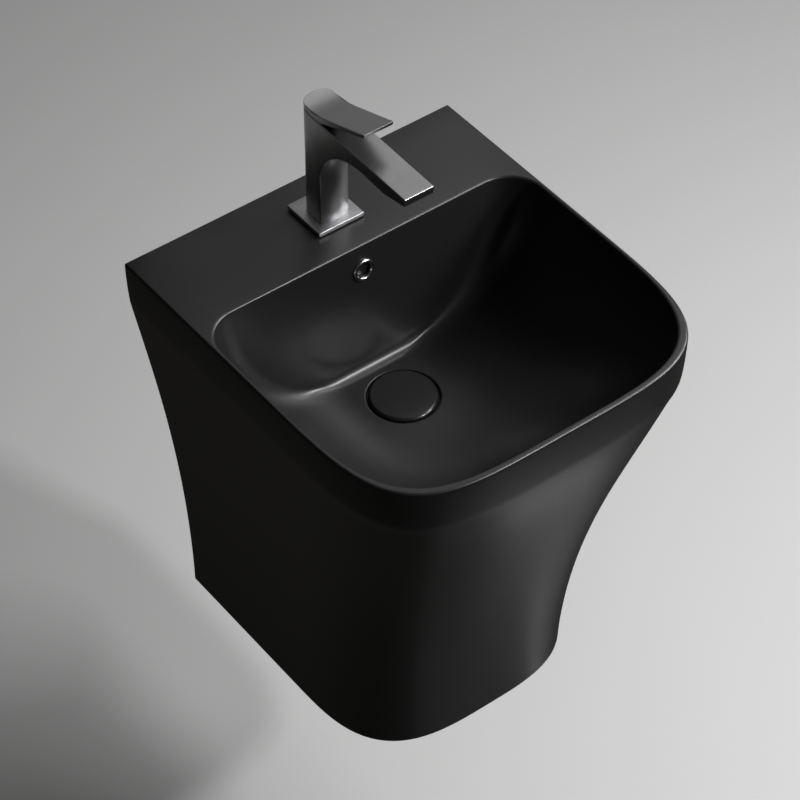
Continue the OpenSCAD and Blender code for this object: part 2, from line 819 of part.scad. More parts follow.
basin_body();
half_pedestal();
overflow_ring();
fixing_sleeves();
fixing_washers();
fixing_nuts();
waste_cap();
cap_seal();
waste_plunger();
click_spring();
click_housing();
waste_body();
flange_seal();
cone_seal();
waste_washer();
waste_nut();
trap_inlet_nut();
trap_inlet_washer();
trap_dip_tube();
trap_top_nut();
trap_top_washer();
trap_head();
trap_cup();
trap_cup_seal();
trap_outlet_nut();
trap_outlet_washer();
trap_outlet_pipe();
wall_flange();
mixer_body();
base_plate();
base_seal();
mixer_stud();
horseshoe_rubber();
horseshoe_plate();
stud_nut();
cartridge_seal();
cartridge_housing();
fixed_disc();
moving_disc();
cartridge_carrier();
cartridge_pin();
cartridge_stem();
cartridge_nut();
mixer_lever();
lever_screw();
aerator_housing();
aerator_insert();
aerator_seal();
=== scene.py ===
import json
import math

import bmesh
import bpy
import numpy as np
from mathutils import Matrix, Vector

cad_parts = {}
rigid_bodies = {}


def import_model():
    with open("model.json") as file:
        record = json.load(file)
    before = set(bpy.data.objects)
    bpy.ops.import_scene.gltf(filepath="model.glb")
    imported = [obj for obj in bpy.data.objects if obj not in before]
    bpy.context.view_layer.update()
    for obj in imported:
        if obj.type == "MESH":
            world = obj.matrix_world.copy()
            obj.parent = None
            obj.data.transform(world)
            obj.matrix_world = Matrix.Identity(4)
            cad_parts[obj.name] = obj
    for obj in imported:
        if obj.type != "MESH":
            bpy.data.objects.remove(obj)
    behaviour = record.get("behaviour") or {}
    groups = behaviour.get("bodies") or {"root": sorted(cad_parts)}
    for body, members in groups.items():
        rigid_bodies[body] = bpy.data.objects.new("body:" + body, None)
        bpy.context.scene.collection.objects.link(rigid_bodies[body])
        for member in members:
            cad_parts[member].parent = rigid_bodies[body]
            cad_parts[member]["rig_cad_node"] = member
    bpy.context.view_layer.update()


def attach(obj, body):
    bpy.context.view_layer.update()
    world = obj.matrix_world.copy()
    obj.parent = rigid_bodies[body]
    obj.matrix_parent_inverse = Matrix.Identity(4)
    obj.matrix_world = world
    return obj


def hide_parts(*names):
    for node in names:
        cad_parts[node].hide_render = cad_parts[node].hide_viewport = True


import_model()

# ---------------------------------------------------------------- sizes, in mm
# x runs across, y is 0 on the wall and falls towards the room, z is 0 at the wall bolts.
# A depth d is measured down from the rim.
MM = 0.001

RIM = 75.0                        # height of the rim
W, D, H = 400.0, 440.0, 500.0     # width, depth and height of the ceramic
APRON = 52.0                      # height of the apron
LEAN_IN = 2.5                     # how far the apron leans in over its height
FOOT_A, FOOT_F = 145.5, 335.0     # half width and depth of the foot
FOOT_EDGE = 3.0                   # radius of the edge under the foot
RIM_EDGE = 2.4                    # radius of the rim's two edges
SKIRT_T = 10.0                    # wall thickness of the half pedestal
BACK_T = 12.0                     # thickness of its back edge
WINDOW_D = 135.0                  # depth of the top of the open back
WINDOW_IN_TOP, WINDOW_IN_LOW = 30.0, 22.0   # ceramic beside the open back, at its top and at the foot
SIDE_END, SIDE_END_RISE = 190.0, 30.0       # depth of the straight side at the foot, and what the apron adds
CREASE_FROM, CREASE_TO = 20, 120  # depths between which the crease under the apron is rounded

BOWL_D = 155.5                    # depth of the bowl
BOWL_T = 9.0                      # wall thickness of the bowl
DECK = 119.0                      # deck between the wall and the bowl
SIDE_LIP, FRONT_LIP = 5.0, 7.0    # rim beside and before the bowl
LEAN_Y = 13.5                     # how far the bowl's back wall leans forward over its depth
CORNER_RIM, CORNER_FLOOR = 40.0, 18.0       # corner radius at the rim and at the floor
SIDE_P, FRONT_P = 1.85, 2.4       # powers of the bowl's side and front curves
WASTE = 187.0                     # the waste's distance from the wall
FLOOR_R = 43.0                    # radius at which the bowl meets the waste's seat
FILLET = WASTE - FLOOR_R - DECK - LEAN_Y    # radius between the bowl's back wall and its floor

TAP_HOLE_R, OVERFLOW_HOLE_R, BOLT_HOLE_R = 17.5, 11.0, 7.0
OVERFLOW_D = 31.0                 # depth of the overflow's centre
OVERFLOW_TILT = math.atan(LEAN_Y / BOWL_D)
OVERFLOW = (0.0, -DECK - LEAN_Y * OVERFLOW_D / BOWL_D, RIM - OVERFLOW_D)
BOLT_X = 140.0                    # half the spacing of the wall bolts

MIXER_Y = -60.0                   # the mixer's upright axis
MIXER_A = 17.3                    # half width of its column, spout and lever
REAR_Y = -43.5                    # rearmost line of the column
COLUMN_TOP = 135.2                # height of the column over the deck, at its rear
TIP_Y, TIP_TOP = -211.3, 131.4    # the spout's tip
COLUMN_FRONT = -75.0              # front corners of the column
FRONT_BOW = 4.3                   # how far the column's front bows out between them


# ---------------------------------------------------------------- mesh helpers
def make(name, verts, faces, sharp=35.0):
    """A smooth-shaded object with normals outwards and edges over the sharp angle kept crisp."""
    me = bpy.data.meshes.new(name)
    me.from_pydata([tuple(v) for v in verts], [], faces)
    bm = bmesh.new()
    bm.from_mesh(me)
    bmesh.ops.recalc_face_normals(bm, faces=bm.faces)
    bm.to_mesh(me)
    bm.free()
    me.shade_smooth()
    me.set_sharp_from_angle(angle=math.radians(sharp))
    ob = bpy.data.objects.new(name, me)
    bpy.context.scene.collection.objects.link(ob)
    return ob


def loft(name, rings, loop=False, sharp=35.0):
    """A skin through rings of equal length, closed by a loop to the first ring or by a cap at each end."""
    n, m = len(rings[0]), len(rings)
    verts = np.concatenate(rings) * MM
    faces = []
    for j in range(m if loop else m - 1):
        a, b = j * n, ((j + 1) % m) * n
        for i in range(n):
            k = (i + 1) % n
            faces.append((a + i, a + k, b + k, b + i))
    if not loop:
        faces.append(tuple(range(n - 1, -1, -1)))
        faces.append(tuple((m - 1) * n + i for i in range(n)))
    return make(name, verts, faces, sharp)


def revolve(profile, centre, tilt=0.0, steps=96):
    """Rings of a profile of (radius, height) turned about an axis through centre, tilted about X."""
    t = np.linspace(0, 2 * math.pi, steps, endpoint=False)
    c, s = math.cos(tilt), math.sin(tilt)
    rings = []
    for r, h in profile:
        x, y, z = r * np.cos(t), r * np.sin(t), np.full(steps, h)
        rings.append(np.stack([x, y * c - z * s, y * s + z * c], 1) + np.array(centre))
    return rings


def cylinder(r, p, q, steps=64):
    """A closed cylinder from p to q."""
    p, q = Vector(p), Vector(q)
    turn = (q - p).to_track_quat("Z", "Y").to_matrix()
    t = np.linspace(0, 2 * math.pi, steps, endpoint=False)
    rings = []
    for h in (0.0, (q - p).length):
        pts = np.stack([r * np.cos(t), r * np.sin(t), np.full(steps, h)], 1)
        rings.append(pts @ np.array(turn).T + np.array(p))
    return loft("cutter", rings)


def cut(ob, cutter, sharp=35.0):
    """Takes the cutter out of ob and deletes it."""
    mod = ob.modifiers.new("cut", "BOOLEAN")
    mod.operation = "DIFFERENCE"
    mod.solver = "MANIFOLD"
    mod.object = cutter
    dg = bpy.context.evaluated_depsgraph_get()
    me = bpy.data.meshes.new_from_object(ob.evaluated_get(dg))
    ob.modifiers.clear()
    old = ob.data
    ob.data = me
    bpy.data.meshes.remove(old)
    bpy.data.objects.remove(cutter, do_unlink=True)
    me.shade_smooth()
    me.set_sharp_from_angle(angle=math.radians(sharp))


# ---------------------------------------------------------------- the ceramic's outside
def lean(d):
    return LEAN_IN * (min(d, APRON) / APRON) ** 2


def rise(d):
    """0 at the foot and 1 from the apron's lower edge up."""
    return max(min(1.0, (H - d) / (H - APRON)), 0.0)


def flare(d, power, swell):
    s = rise(d)
    return s ** power + swell * s ** 4 * (1 - s)


def half_width(d):
    return FOOT_A + (W / 2 - LEAN_IN - FOOT_A) * flare(d, 1.82, 0.26) + LEAN_IN - lean(d)


def front(d):
    return FOOT_F + (D - LEAN_IN - FOOT_F) * flare(d, 1.69, 0.66) + LEAN_IN - lean(d)


def front_power(d):
    """How square the front's corners are: 2 is an ellipse."""
    return 4.5 - 1.26 * (1 - rise(d)) ** 0.4


def soft(f, d, reach=6.0):
    """f averaged near the crease under the apron, so that the crease is rounded."""
    if d < CREASE_FROM or d > CREASE_TO:
        return f(d)
    offs = np.linspace(-reach, reach, 13)
    wts = np.cos(offs / reach * math.pi / 2) ** 2 + 1e-6
    vals = [f(d + o) for o in offs]
    return float(np.dot(vals, wts) / wts.sum())


def half_outline(a, yb, yf, rc, power, ym):
    """Right half of an outline: back edge at yb, back corner rc, side as far as ym, curved front at yf."""
    p = [(x, yb) for x in np.linspace(0, a - rc, 10, endpoint=False)]
    for t in np.linspace(0, math.pi / 2, 12, endpoint=False):
        p.append((a - rc + rc * math.sin(t), yb - rc + rc * math.cos(t)))
    p += [(a, y) for y in np.linspace(yb - rc, ym, 12, endpoint=False)]
    b = ym - yf
    for t in np.linspace(0, math.pi / 2, 55):
        c, s = math.cos(t), math.sin(t)
        r = ((c / a) ** power + (s / b) ** power) ** (-1 / power)
        p.append((r * c, ym - r * s))
    return p


def ring(z, *shape):
    right = half_outline(*shape)
    pts = right + [(-x, y) for x, y in right[-2:0:-1]]
    return np.array([(x, y, z) for x, y in pts])


def outer_ring(d, z, t=0.0, back=0.0, wall_corner=2.4):
    """Ring of the outside at depth d, moved inwards by t and drawn at height z."""
    a, f, n = soft(half_width, d), soft(front, d), soft(front_power, d, 12.0)
    return ring(z, a - t, back, t - f, wall_corner, n, -SIDE_END - SIDE_END_RISE * rise(d))


def inner_ring(d, z, t=SKIRT_T, back=BACK_T):
    """Ring of the half pedestal's inside."""
    return outer_ring(d, z, t, -back, BACK_T)


# ---------------------------------------------------------------- the ceramic's bowl
def fillet(d):
    """How far the fold at the foot of the bowl's back wall has come forward at depth d."""
    u = d - BOWL_D + FILLET
    return FILLET - math.sqrt(max(0.0, FILLET ** 2 - u * u)) if u > 0 else 0.0


def bowl_angle(d):
    """The angle at which bowl_ring reaches depth d."""
    return math.degrees(math.asin((d / BOWL_D) ** (SIDE_P / 2)))


def bowl_ring(v, t=0.0, drop=0.0):
    """Ring of the bowl at v degrees, 0 at the rim and 90 at the waste; t is a thickness outwards."""
    c, s = math.cos(math.radians(v)), math.sin(math.radians(v))
    d = BOWL_D * s ** (2 / SIDE_P)
    a = FLOOR_R + (W / 2 - SIDE_LIP - FLOOR_R) * max(c, 0.0) ** (2 / SIDE_P) + t
    f = WASTE + FLOOR_R + (D - FRONT_LIP - WASTE - FLOOR_R) * max(c, 0.0) ** (2 / FRONT_P) + t
    b = DECK + LEAN_Y * d / BOWL_D + fillet(d) - t
    corner = min(CORNER_FLOOR + (CORNER_RIM - CORNER_FLOOR) * max(c, 0.0) ** 2, 0.75 * a)
    return ring(RIM - d - drop, a, -b, -f, corner, 2 + 2.2 * c, -WASTE - 33 * c)


def around(r, d, like):
    """A circle about the waste whose points stand at the same angles as the points of another ring."""
    t = np.arctan2(like[:, 1] + WASTE, like[:, 0])
    return np.stack([r * np.cos(t), -WASTE + r * np.sin(t), np.full(len(t), RIM - d)], 1)


def outside_rings():
    """From the rounded edge under the foot up to the rim, closest together under the apron."""
    r = FOOT_EDGE
    rings = [outer_ring(H, RIM - H + r - r * math.cos(t), r - r * math.sin(t))
             for t in np.linspace(0, math.pi / 2, 7)]
    depths = list(np.arange(H - 8, 130, -8)) + list(np.arange(128, 30, -2.5)) + [28, 22, 16, 10, 6]
    return rings + [outer_ring(d, RIM - d) for d in depths]


def rim_rings():
    """The rim's outer edge, its flat top and its inner edge."""
    r = RIM_EDGE
    outer, inner = [], []
    for t in np.linspace(0, math.pi / 2, 8):
        d, k = r - r * math.sin(t), r - r * math.cos(t)
        q = outer_ring(d, RIM - d, k)
        q[:, 1] = np.minimum(q[:, 1], -k)
        outer.append(q)
    for u in np.linspace(0, math.pi / 2, 9):
        d = r * (1 - math.cos(u))
        q = bowl_ring(bowl_angle(d), r * (1 - math.sin(u)))
        q[:, 2] = RIM - d
        inner.append(q)
    flat = [outer[-1] * (1 - k) + inner[0] * k for k in (0.25, 0.5, 0.75)]
    return outer + flat + inner


def bowl_rings():
    """Down the bowl, closest together in the fold between its back wall and its floor."""
    upper = np.linspace(bowl_angle(RIM_EDGE), 66, 44)[1:]
    lower = np.linspace(66, 89.3, 30)[1:]
    return [bowl_ring(v) for v in (*upper, *lower)]


def waste_rings(last):
    """The seat round the cap, the drain hole and the boss under it."""
    seat = ((40.0, 155.5), (39.2, 155.5), (38.5, 155.6), (38.0, 155.9), (37.8, 156.5), (37.8, 162), (30, 162))
    boss = ((23, 162), (23, 205), (38, 205), (38, 170))
    step = 0.5 * last + 0.5 * around(41.5, BOWL_D, last)
    return [step] + [around(r, d, last) for r, d in seat + boss]


def inside_rings():
    """The bowl's underside, the hollow under the deck and the half pedestal's inside, down to the foot."""
    rings = [bowl_ring(v, BOWL_T, BOWL_T * math.sin(math.radians(v))) for v in np.linspace(84, 31, 20)]
    under = rings[-1]
    behind = np.clip((under[:, 1] + 165) / 40, 0, 1)[:, None]
    behind = behind * behind * (3 - 2 * behind)
    top = RIM - 12
    skirt = inner_ring(82, RIM - 82)
    up = under.copy()
    up[:, 1] += 5
    up[:, 2] = top
    away = skirt.copy()
    away[:, 2] = top
    rings += [up * behind + skirt * (1 - behind), away * behind + skirt * (1 - behind)]
    rings += [inner_ring(d, RIM - d) for d in (84, 110, 150, 200, 260, 320, 380, 440, 480)]
    rings.append(inner_ring(H, RIM - H + 1.5))
    rings.append(inner_ring(H, RIM - H, SKIRT_T - 1.5, BACK_T - 1.5))
    return rings


def open_back(ob):
    top, low = RIM - WINDOW_D, RIM - H - 2
    xt, xb = half_width(WINDOW_D) - WINDOW_IN_TOP, half_width(H) - WINDOW_IN_LOW
    corners = [(-xt, top), (xt, top), (xb, low), (-xb, low)]
    cut(ob, loft("cutter", [np.array([(x, y, z) for x, z in corners]) for y in (-BACK_T - 2, 3.0)]))


def ceramic():
    """The whole casting as one closed skin, with its open back, tap hole, overflow and bolt holes."""
    down = outside_rings() + rim_rings() + bowl_rings()
    rings = down + waste_rings(down[-1]) + inside_rings()
    for q in rings:
        q[:, 1] = np.minimum(q[:, 1], 0.0)
    ob = loft("ceramic", rings, loop=True)
    open_back(ob)
    cut(ob, cylinder(TAP_HOLE_R, (0, MIXER_Y, RIM - 14), (0, MIXER_Y, RIM + 2)))
    out = Vector((0, -math.cos(OVERFLOW_TILT), math.sin(OVERFLOW_TILT)))
    centre = Vector(OVERFLOW)
    cut(ob, cylinder(OVERFLOW_HOLE_R, centre - out * 20, centre + out * 4))
    for s in (-1, 1):
        cut(ob, cylinder(BOLT_HOLE_R, (s * BOLT_X, -BACK_T - 2, 0), (s * BOLT_X, 2, 0)))
    return ob


def duct():
    """The overflow's channel behind and under the bowl, seen through the open back."""
    outline = [(-88, 18), (-119, 18), (-123, 170), (-167, 170), (-167, 202), (-88, 202)]
    cy = sum(y for y, d in outline) / len(outline)
    cd = sum(d for y, d in outline) / len(outline)
    rings = []
    for x, k in ((-28, 1.5), (-27.5, 0.4), (-26.5, 0), (26.5, 0), (27.5, 0.4), (28, 1.5)):
        pts = [(x, y - k * np.sign(y - cy), RIM - d + k * np.sign(d - cd)) for y, d in outline]
        rings.append(np.array(pts))
    return loft("overflow_duct", rings)


def overflow_ring():
    """The polished lip of the overflow ring, and its dark sleeve inside the hole."""
    lip = [(8.4, -0.6)]
    lip += [(10.4 + 2.09 * math.cos(t), 0.45 + 2.25 * math.sin(t)) for t in np.linspace(math.pi, 0, 17)]
    lip += [(12.3, 0.2), (10.9, 0.15), (10.9, -0.6)]
    sleeve = [(8.3, -12), (8.3, -0.7), (10.9, -0.7), (10.9, -12)]
    turn = math.pi / 2 - OVERFLOW_TILT
    return (loft("overflow_trim", revolve(lip, OVERFLOW, turn), loop=True, sharp=50),
            loft("overflow_sleeve", revolve(sleeve, OVERFLOW, turn), loop=True))


def waste_cap():
    """The closed cap: a slightly domed top with a rounded edge, on a short stem."""
    r, edge, axis = 36.0, 4.0, 0.01
    dome = [(axis, -152.5), (12, -152.54), (24, -152.68), (31, -152.82), (33.2, -152.9)]
    turn = np.linspace(0.3, math.pi / 2, 14)
    rim = [(r - edge + edge * math.sin(t), -156.8 + edge * math.cos(t)) for t in turn]
    under = [(r, -156.95), (35.6, -157.2), (35.0, -157.3), (6, -157.3), (6, -160.5), (axis, -160.5)]
    return loft("cap", revolve(dome + rim + under, (0, -WASTE, RIM), steps=144), sharp=40)


# ---------------------------------------------------------------- the mixer
def rear(x):
    """The rounded rear of the column and the lever."""
    s = min(1.0, abs(x) / MIXER_A)
    return REAR_Y - 12.5 + 12.5 * (1 - s ** 2.4) ** (1 / 2.4)


def rounded(poly, radii, steps=6):
    """Rounds the corners of a closed polygon; a radius of 0 keeps the corner."""
    out, n = [], len(poly)
    for i, (p, r) in enumerate(zip(poly, radii)):
        p = np.array(p, float)
        if r <= 0:
            out.append(tuple(p))
            continue
        a = np.array(poly[i - 1], float) - p
        b = np.array(poly[(i + 1) % n], float) - p
        la, lb = np.linalg.norm(a), np.linalg.norm(b)
        a, b = a / la, b / lb
        ang = math.acos(max(-1, min(1, float(a @ b))))
        cutback = min(r / math.tan(ang / 2), 0.45 * la, 0.45 * lb)
        for k in np.linspace(0, 1, steps + 1):
            q = (1 - k) ** 2 * (p + a * cutback) + 2 * k * (1 - k) * p + k * k * (p + b * cutback)
            out.append(tuple(q))
    return out


def inset(poly, t):
    """Moves each corner of a closed polygon inwards by t."""
    p = np.array(poly, float)
    e = np.roll(p, -1, 0) - p
    ln = np.maximum(np.linalg.norm(e, axis=1, keepdims=True), 1e-9)
    nrm = np.stack([-e[:, 1], e[:, 0]], 1) / ln
    v = nrm + np.roll(nrm, 1, 0)
    v /= np.maximum(np.linalg.norm(v, axis=1, keepdims=True), 1e-9)
    area = 0.5 * np.sum(p[:, 0] * np.roll(p[:, 1], -1) - np.roll(p[:, 0], -1) * p[:, 1])
    return p + v * t * (1 if area > 0 else -1)


def stations(r, n=14):
    """Places across the mixer's width as (x, inset of the profile there), with side edges of radius r."""
    edge = [(MIXER_A - r + r * math.sin(t), r * (1 - math.cos(t))) for t in np.linspace(0, math.pi / 2, 7)]
    inner = [(MIXER_A - r) * math.sin(t) for t in np.linspace(-math.pi / 2, math.pi / 2, 2 * n + 1)][1:-1]
    return [(-x, k) for x, k in edge[::-1]] + [(x, 0.0) for x in inner] + edge


def across(name, profile, r):
    """A solid from profile(x), a (y, height over the deck) outline at each place across the mixer."""
    rings = []
    for x, k in stations(r):
        p = inset(profile(x), k)
        rings.append(np.array([(x, y, RIM + z) for y, z in p]))
    return loft(name, rings, sharp=32)


def smooth_step(a, b, x):
    k = min(1.0, max(0.0, (x - a) / (b - a)))
    return k * k * (3 - 2 * k)


def spout_top(y):
    return COLUMN_TOP + (TIP_TOP - COLUMN_TOP) * (REAR_Y - y) / (REAR_Y - TIP_Y)


def body_profile(x):
    """Column, arch and spout; the column's front bows out and the bow fades along the arch."""
    yr = rear(x)
    bow = FRONT_BOW * (1 - (x / MIXER_A) ** 2)
    reach, height, foot = 67.5, 56, 62.5    # the arch's quarter ellipse, and where it stands on the column
    low = COLUMN_FRONT - bow
    arch = []
    for t in np.linspace(90, 0, 30):
        c, s = math.cos(math.radians(t)), math.sin(math.radians(t))
        out = bow * (1 - smooth_step(0, 80, t))
        arch.append((COLUMN_FRONT - reach + reach * c - out * c, foot + height * s - out * s))
    front_line = [(low, z) for z in np.linspace(58, 12, 8)]
    poly = [(yr, 6.0), (yr, spout_top(yr)), (yr - 4, spout_top(yr - 4)), (-206.0, spout_top(-206.0)),
            (TIP_Y, TIP_TOP), (-210.4, 122.4), (-206.0, 121.6), (-178.0, 116.6)]
    radii = [0, 0.5, 0, 0, 1.5, 0.7, 0, 6.0]
    poly += arch + front_line + [(low, 6.0)]
    radii += [0] * (len(arch) + len(front_line) + 1)
    return rounded(poly, radii)


def mixer_body():
    """The column and spout, bored for the cartridge and, square to the sloping spout, for the aerator."""
    cartridge_r, aerator_r, slope = 14.2, 10.9, math.radians(8.9)
    ob = across("mixer_column", body_profile, 0.9)
    cut(ob, cylinder(cartridge_r, (0, MIXER_Y, RIM + 110), (0, MIXER_Y, RIM + 150)), sharp=32)
    along = Vector((0, math.sin(slope), math.cos(slope)))
    mouth = Vector((0, -195, RIM + 119.3))
    cut(ob, cylinder(aerator_r, mouth - along * 8, mouth + along * 9), sharp=32)
    return ob


def lever_profile(x):
    """A dish over the cartridge that runs out into the rising blade."""
    yr = rear(x)
    rise_angle, dish_y, dish_r, dish_low, under = math.radians(19), -62, 65.0, 142.3, 135.7
    centre = dish_low + dish_r
    ye = dish_y - dish_r * math.sin(rise_angle)
    ze = centre - dish_r * math.cos(rise_angle)

    def top(y):
        if y > ye:
            return centre - math.sqrt(dish_r * dish_r - (y - dish_y) ** 2)
        return ze + (ye - y) * math.tan(rise_angle)

    back = under + (yr + 61.5) * math.tan(math.radians(15.5))
    poly = [(yr, back), (yr, top(yr))]
    radii = [0.4, 0.7]
    for y in list(np.linspace(yr - 1.6, ye - 6, 26)) + list(np.linspace(ye - 20, -145.5, 5)):
        poly.append((y, top(y)))
        radii.append(0)
    tip, tip_low, blade_start = -149.2, top(-149.2) - 4.6, -77.5
    slope = (tip_low - under) / (148.0 + blade_start)
    poly += [(tip, top(tip)), (-148.0, tip_low), (-144.0, tip_low - 4 * slope), (blade_start, under)]
    poly.append((-61.5, under))
    radii += [1.4, 0.7, 0, 3.0, 3.0]
    return rounded(poly, radii)


def lever():
    """The lever's blade with its screw hole, and the hub that sits on the cartridge stem."""
    ob = across("lever_blade", lever_profile, 0.7)
    cut(ob, cylinder(2.0, (0, -64, RIM + 138.2), (0, -92, RIM + 138.2)), sharp=32)
    hub = cylinder(6.0, (0, MIXER_Y, RIM + 131), (0, MIXER_Y, RIM + 137))
    hub.name = "lever_hub"
    return ob, hub


def base_plate():
    """The square plate under the column, with a rounded upper edge and a hole for the spigot."""
    side, edge, low, high = 54.5, 1.4, 1.5, 6.0
    t = np.linspace(0, 2 * math.pi, 160, endpoint=False)

    def square(w, z):
        h, n = w / 2, 90.0
        c, s = np.cos(t), np.sin(t)
        rad = (np.abs(c / h) ** n + np.abs(s / h) ** n) ** (-1 / n)
        return np.stack([rad * c, MIXER_Y + rad * s, np.full(len(t), RIM + z)], 1)

    def circle(r, z):
        return np.stack([r * np.cos(t), MIXER_Y + r * np.sin(t), np.full(len(t), RIM + z)], 1)

    rings = [square(side - 0.6, low), square(side, 1.8), square(side, 5.3)]
    for u in np.linspace(0, math.pi / 2, 5)[1:]:
        rings.append(square(side - edge * (1 - math.cos(u)), 5.3 + edge / 2 * math.sin(u)))
    rings += [circle(15.0, high), circle(15.0, low)]
    return loft("mixer_plate", rings, loop=True)


def spigot():
    """The round foot of the mixer in the tap hole, with the two hose inlets."""
    prof = [(0.01, -4), (14.3, -4), (14.9, -3.4), (14.9, 6.05), (0.01, 6.05)]
    ob = loft("mixer_spigot", revolve(prof, (0, MIXER_Y, RIM)), sharp=30)
    for s in (-1, 1):
        cut(ob, cylinder(4.5, (s * 6.5, -64, RIM - 6), (s * 6.5, -64, RIM + 4), 32), sharp=30)
    return ob


# ---------------------------------------------------------------- materials
def material(name, colour, rough, metallic=0.0, noise=(18.0, 0.06), grain=(900.0, 0.02), bump=0.02,
             stretch=(1, 1, 1), specular=0.5, coat=0.0, coat_rough=0.1):
    """A material in object space; noise is (scale, colour variation), grain is (scale, bump height in mm)."""
    m = bpy.data.materials.new(name)
    m.use_nodes = True
    nt = m.node_tree
    nt.nodes.clear()
    out = nt.nodes.new("ShaderNodeOutputMaterial")
    sh = nt.nodes.new("ShaderNodeBsdfPrincipled")
    nt.links.new(sh.outputs["BSDF"], out.inputs["Surface"])
    sh.inputs["Metallic"].default_value = metallic
    sh.inputs["Specular IOR Level"].default_value = specular
    sh.inputs["Coat Weight"].default_value = coat
    sh.inputs["Coat Roughness"].default_value = coat_rough
    tc = nt.nodes.new("ShaderNodeTexCoord")
    mp = nt.nodes.new("ShaderNodeMapping")
    mp.inputs["Scale"].default_value = stretch
    nt.links.new(tc.outputs["Object"], mp.inputs["Vector"])

    def noise_texture(scale, detail):
        n = nt.nodes.new("ShaderNodeTexNoise")
        n.inputs["Scale"].default_value = scale
        n.inputs["Detail"].default_value = detail
        nt.links.new(mp.outputs["Vector"], n.inputs["Vector"])
        return n

    broad, fine = noise_texture(noise[0], 4.0), noise_texture(grain[0], 3.0)
    ramp = nt.nodes.new("ShaderNodeValToRGB")
    for end, place, factor in zip(ramp.color_ramp.elements, (0.3, 0.7), (1 - noise[1], 1 + noise[1])):
        end.position = place
        end.color = (*[c * factor for c in colour], 1)
    nt.links.new(broad.outputs["Fac"], ramp.inputs["Fac"])
    nt.links.new(ramp.outputs["Color"], sh.inputs["Base Color"])
    spread = 0.05
    mr = nt.nodes.new("ShaderNodeMapRange")
    mr.inputs["From Min"].default_value = 0.25
    mr.inputs["From Max"].default_value = 0.75
    mr.inputs["To Min"].default_value = rough - spread
    mr.inputs["To Max"].default_value = rough + spread
    nt.links.new(fine.outputs["Fac"], mr.inputs["Value"])
    nt.links.new(mr.outputs["Result"], sh.inputs["Roughness"])
    bp = nt.nodes.new("ShaderNodeBump")
    bp.inputs["Strength"].default_value = bump
    bp.inputs["Distance"].default_value = grain[1] * MM
    nt.links.new(fine.outputs["Fac"], bp.inputs["Height"])
    nt.links.new(bp.outputs["Normal"], sh.inputs["Normal"])
    return m


SLOTS = {
    "glaze": material(
        "matte_black_glaze", (0.0050, 0.0050, 0.0051), 0.48, noise=(9.0, 0.08), grain=(700.0, 0.06),
        bump=0.2, specular=0.22, coat=0.42, coat_rough=0.28),
    "black_cap": material(
        "matte_black_cap", (0.005, 0.005, 0.0051), 0.42, noise=(30.0, 0.06), grain=(1500.0, 0.04),
        bump=0.2, specular=0.15, coat=0.5, coat_rough=0.18),
    "gunmetal": material(
        "gunmetal", (0.25, 0.25, 0.253), 0.34, 1.0, noise=(25.0, 0.05), grain=(1800.0, 0.03), bump=0.15),
    "plate": material(
        "brushed_plate", (0.29, 0.29, 0.30), 0.34, 1.0, noise=(25.0, 0.05), grain=(500.0, 0.03), bump=0.3,
        stretch=(0.15, 6, 1)),
    "ring": material(
        "dark_chrome", (0.45, 0.45, 0.46), 0.2, 1.0, noise=(40.0, 0.04), grain=(2000.0, 0.01), bump=0.05),
    "steel": material(
        "steel", (0.55, 0.55, 0.56), 0.32, 1.0, noise=(60.0, 0.08), grain=(1500.0, 0.03), bump=0.2),
    "brass": material(
        "brass", (0.62, 0.46, 0.20), 0.30, 1.0, noise=(60.0, 0.10), grain=(1500.0, 0.03), bump=0.2),
    "white_plastic": material(
        "white_plastic", (0.78, 0.78, 0.76), 0.35, noise=(20.0, 0.03), grain=(1200.0, 0.03), bump=0.15),
    "grey_plastic": material(
        "grey_plastic", (0.28, 0.28, 0.29), 0.45, noise=(20.0, 0.05), grain=(1200.0, 0.04), bump=0.2),
    "rubber": material(
        "rubber", (0.02, 0.02, 0.02), 0.65, noise=(30.0, 0.10), grain=(1500.0, 0.05), bump=0.3),
    "disc": material(
        "disc_ceramic", (0.85, 0.85, 0.82), 0.22, noise=(20.0, 0.03), grain=(1500.0, 0.02), bump=0.1),
}

NODES_OF_SLOT = {
    "glaze": "basin_body half_pedestal",
    "black_cap": "waste_cap",
    "gunmetal": "mixer_body mixer_lever aerator_housing",
    "plate": "base_plate",
    "ring": "overflow_ring",
    "steel": "fixing_washers fixing_nuts waste_plunger click_spring mixer_stud horseshoe_plate "
             "cartridge_pin lever_screw",
    "brass": "waste_body waste_nut stud_nut cartridge_stem cartridge_nut",
    "white_plastic": "fixing_sleeves trap_inlet_nut trap_dip_tube trap_top_nut trap_head trap_cup "
                     "trap_outlet_nut trap_outlet_pipe wall_flange",
    "grey_plastic": "click_housing waste_washer cartridge_housing cartridge_carrier aerator_insert",
    "rubber": "cap_seal flange_seal cone_seal trap_inlet_washer trap_top_washer trap_cup_seal "
              "trap_outlet_washer base_seal horseshoe_rubber cartridge_seal aerator_seal",
    "disc": "fixed_disc moving_disc",
}
SLOT_OF_NODE = {node: slot for slot, nodes in NODES_OF_SLOT.items() for node in nodes.split()}


def paint(ob, slot):
    ob.data.materials.clear()
    ob.data.materials.append(SLOTS[slot])


for ob in list(bpy.context.scene.objects):
    if ob.type == "MESH" and "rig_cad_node" in ob:
        paint(ob, SLOT_OF_NODE[ob["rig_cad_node"]])


# ---------------------------------------------------------------- pieces
def piece(ob, body, slot, *nodes):
    """Paints a piece, rides it on its body and lets it stand for the CAD nodes named."""
    paint(ob, slot)
    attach(ob, body)
    if nodes:
        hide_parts(*nodes)


